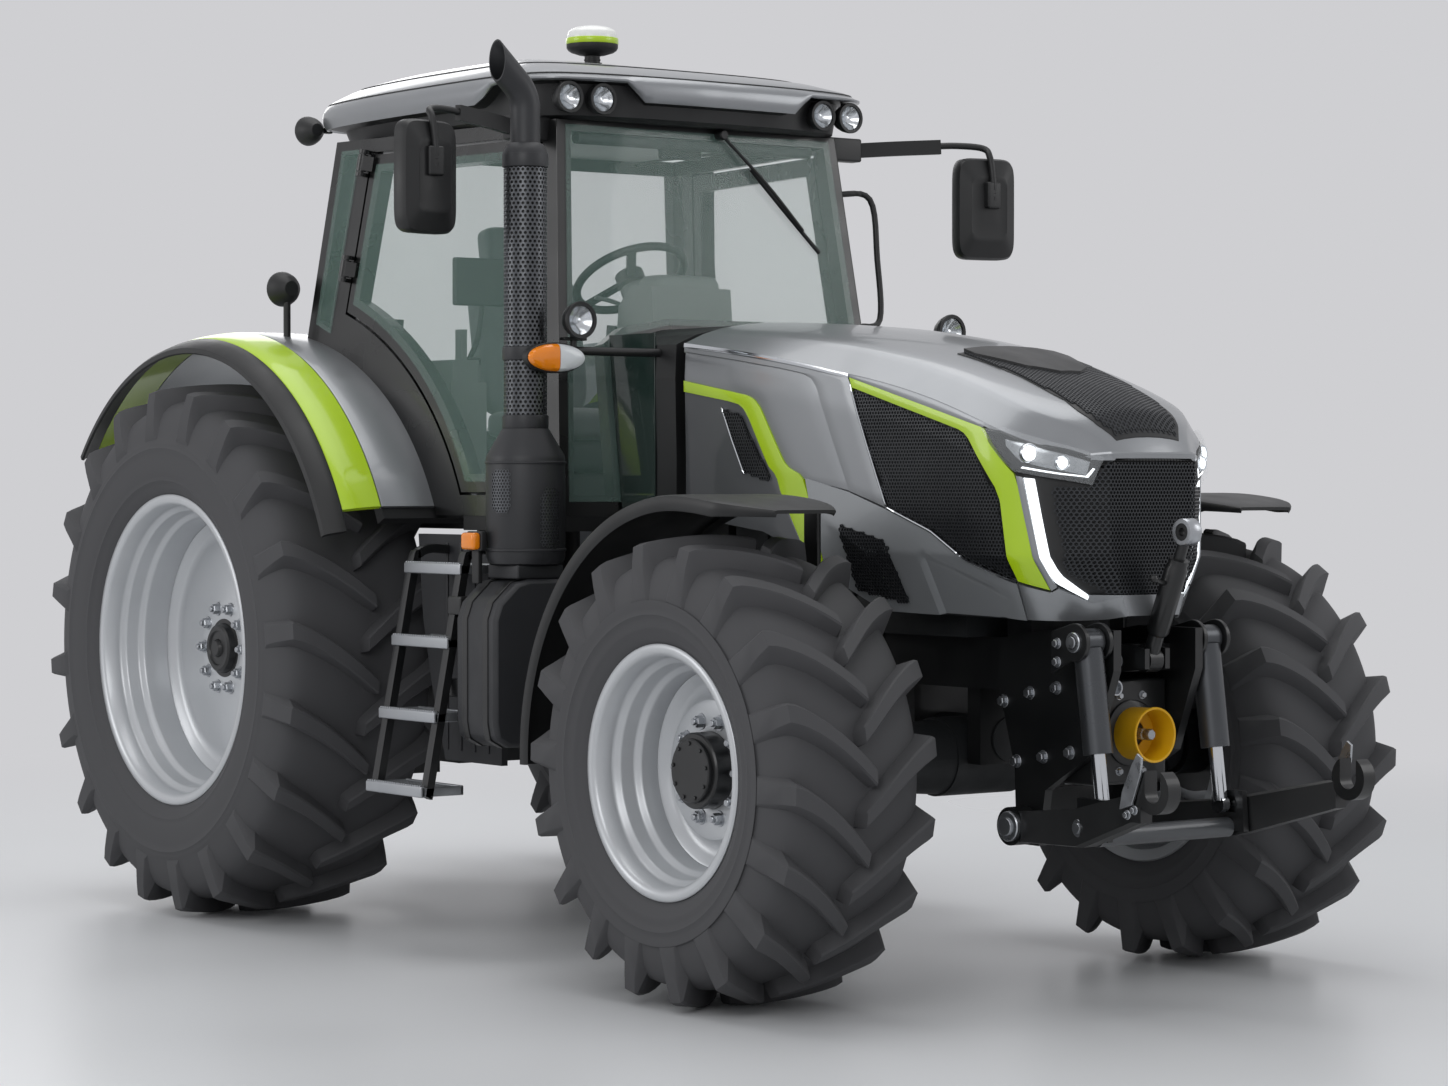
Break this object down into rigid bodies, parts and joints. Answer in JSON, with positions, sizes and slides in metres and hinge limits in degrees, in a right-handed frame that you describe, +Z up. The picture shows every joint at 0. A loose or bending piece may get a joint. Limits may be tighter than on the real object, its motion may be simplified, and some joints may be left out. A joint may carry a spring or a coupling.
{
  "type": "farm tractor",
  "caption": "Four-wheel-drive farm tractor with a glazed cab, tilting hood, steered front wheels and lifting linkages at front and rear.",
  "frame": {"origin": "on the ground under the middle of the overall length and width", "axes": "+X forward, +Y to the tractor's left, +Z up"},
  "size_m": [5.4849, 2.62, 3.2133],
  "materials": {
    "cast_grey": "satin",
    "black_paint": "satin",
    "black_plastic": "grained",
    "glass": "polished",
    "roof_plastic": "metallic",
    "lamp_plastic": "clear",
    "white_plastic": "satin",
    "exhaust_steel": "satin",
    "fender_plastic": "metallic",
    "step_steel": "satin",
    "tank_plastic": "grained",
    "seat_fabric": "woven",
    "grey_plastic": "grained",
    "yellow_plastic": "satin",
    "rod_steel": "satin",
    "rod_chrome": "polished",
    "tyre_rubber": "matte",
    "rim_silver": "satin",
    "silver_paint": "metallic gloss",
    "grille_mesh": "satin",
    "lamp_lens": "clear"
  },
  "bodies": {
    "chassis": {"engine": "cast_grey", "transmission": "cast_grey", "rear_axle": "cast_grey", "front_support": "black_paint", "front_axle": "cast_grey", "cowl": "black_plastic", "cab_frame": "black_paint", "cab_floor": "black_plastic", "cab_glass": "glass", "roof": "roof_plastic", "work_lamps": "lamp_plastic", "antenna": "white_plastic", "exhaust": "exhaust_steel", "mirrors": "black_plastic", "rear_fenders": "fender_plastic", "steps": "step_steel", "side_tanks": "tank_plastic", "seat": "seat_fabric", "dash_console": "grey_plastic", "armrest": "grey_plastic", "front_pto": "yellow_plastic", "rear_hitch": "black_paint"},
    "steer_knuckle_right": {"knuckle_right": "cast_grey", "front_fender_right": "black_plastic"},
    "steer_knuckle_left": {"knuckle_left": "cast_grey", "front_fender_left": "black_plastic"},
    "tie_rod": {"tie_rod": "rod_steel"},
    "rear_wheel_right": {"rear_tyre_right": "tyre_rubber", "rear_rim_right": "rim_silver"},
    "rear_wheel_left": {"rear_tyre_left": "tyre_rubber", "rear_rim_left": "rim_silver"},
    "front_wheel_right": {"front_tyre_right": "tyre_rubber", "front_rim_right": "rim_silver", "front_hub_right": "black_paint"},
    "front_wheel_left": {"front_tyre_left": "tyre_rubber", "front_rim_left": "rim_silver", "front_hub_left": "black_paint"},
    "hood": {"hood_shell": "silver_paint", "hood_grilles": "grille_mesh", "headlights": "lamp_lens"},
    "right_door": {"door_right": "black_paint", "door_glass_right": "glass"},
    "left_door": {"door_left": "black_paint", "door_glass_left": "glass"},
    "front_links": {"front_lower_links": "black_paint", "front_cross_tube": "black_paint"},
    "front_barrels": {"front_lift_barrels": "black_paint"},
    "front_rods": {"front_lift_rods": "rod_chrome"},
    "front_upper_link": {"front_top_link": "black_paint"},
    "rear_links": {"rear_lower_links": "black_paint"},
    "rear_arms": {"rear_lift_arms": "black_paint"},
    "rear_rods": {"rear_lift_rods": "rod_steel"},
    "rear_upper_link": {"rear_top_link": "black_paint"},
    "steering_wheel": {"steering_wheel": "black_plastic"}
  },
  "joints": [
    {"name": "rear_wheel_right_spin", "type": "hinge", "parent": "chassis", "child": "rear_wheel_right", "pos_m": [-1.5475, -0.985, 0.96], "axis": [0, 1, 0], "continuous": true},
    {"name": "rear_wheel_left_spin", "type": "hinge", "parent": "chassis", "child": "rear_wheel_left", "pos_m": [-1.5475, 0.985, 0.96], "axis": [0, 1, 0], "continuous": true},
    {"name": "front_wheel_right_spin", "type": "hinge", "parent": "steer_knuckle_right", "child": "front_wheel_right", "pos_m": [1.4025, -0.955, 0.705], "axis": [0, 1, 0], "continuous": true},
    {"name": "front_wheel_left_spin", "type": "hinge", "parent": "steer_knuckle_left", "child": "front_wheel_left", "pos_m": [1.4025, 0.955, 0.705], "axis": [0, 1, 0], "continuous": true},
    {"name": "steer_right", "type": "hinge", "parent": "chassis", "child": "steer_knuckle_right", "pos_m": [1.4025, -0.74, 0.705], "axis": [0, 0, 1], "range_deg": [-38, 38]},
    {"name": "steer_left", "type": "hinge", "parent": "chassis", "child": "steer_knuckle_left", "pos_m": [1.4025, 0.74, 0.705], "axis": [0, 0, 1], "range_deg": [-38, 38]},
    {"name": "tie_rod_pivot", "type": "hinge", "parent": "steer_knuckle_right", "child": "tie_rod", "pos_m": [1.1625, -0.74, 0.609], "axis": [0, 0, 1], "range_deg": [-38, 38]},
    {"name": "steering_wheel_turn", "type": "hinge", "parent": "chassis", "child": "steering_wheel", "pos_m": [-0.4675, 0, 2.29], "axis": [-0.5299, 0, 0.848], "range_deg": [-684, 684]},
    {"name": "hood_open", "type": "hinge", "parent": "chassis", "child": "hood", "pos_m": [0.4925, 0, 2.055], "axis": [0, -1, 0], "range_deg": [0, 45]},
    {"name": "door_right_open", "type": "hinge", "parent": "chassis", "child": "right_door", "pos_m": [-1.06659, -0.79222, 2.48249], "axis": [-0.1281, -0.1133, -0.9853], "range_deg": [0, 70]},
    {"name": "door_left_open", "type": "hinge", "parent": "chassis", "child": "left_door", "pos_m": [-1.06659, 0.79222, 2.48249], "axis": [0.1281, -0.1133, 0.9853], "range_deg": [0, 70]},
    {"name": "front_lift", "type": "hinge", "parent": "chassis", "child": "front_links", "pos_m": [1.8825, 0, 0.53], "axis": [0, -1, 0], "range_deg": [-24, 12]},
    {"name": "front_barrel_swing", "type": "hinge", "parent": "chassis", "child": "front_barrels", "pos_m": [2.2125, 0, 1.096], "axis": [0, -1, 0], "range_deg": [-1.2, 0.6]},
    {"name": "front_rod_slide", "type": "slide", "parent": "front_barrels", "child": "front_rods", "axis": [0.1397, 0, -0.9902], "range_m": [-0.084, 0.168]},
    {"name": "front_upper_link_swing", "type": "hinge", "parent": "chassis", "child": "front_upper_link", "pos_m": [2.2225, 0, 1.037], "axis": [0, 1, 0], "range_deg": [0, 80]},
    {"name": "rear_lift", "type": "hinge", "parent": "chassis", "child": "rear_links", "pos_m": [-1.8475, 0, 0.56], "axis": [0, 1, 0], "range_deg": [-18, 34]},
    {"name": "rear_arm_turn", "type": "hinge", "parent": "chassis", "child": "rear_arms", "pos_m": [-1.8475, 0, 1.23], "axis": [0, 1, 0], "range_deg": [-18, 34]},
    {"name": "rear_rod_swing", "type": "hinge", "parent": "rear_arms", "child": "rear_rods", "pos_m": [-2.2675, 0, 1.2], "axis": [0, 1, 0], "range_deg": [-34, 18]},
    {"name": "rear_upper_link_swing", "type": "hinge", "parent": "chassis", "child": "rear_upper_link", "pos_m": [-1.9775, 0, 1.01], "axis": [0, 1, 0], "range_deg": [-25, 40]}
  ],
  "couplings": [
    {"joint": "steer_left", "follows": "steer_right", "ratio": 1},
    {"joint": "tie_rod_pivot", "follows": "steer_right", "ratio": -1},
    {"joint": "steering_wheel_turn", "follows": "steer_right", "ratio": 18},
    {"joint": "front_barrel_swing", "follows": "front_lift", "ratio": 0.045},
    {"joint": "front_rod_slide", "follows": "front_lift", "m_per_rad": -0.401},
    {"joint": "rear_arm_turn", "follows": "rear_lift", "ratio": 1},
    {"joint": "rear_rod_swing", "follows": "rear_lift", "ratio": -1}
  ]
}
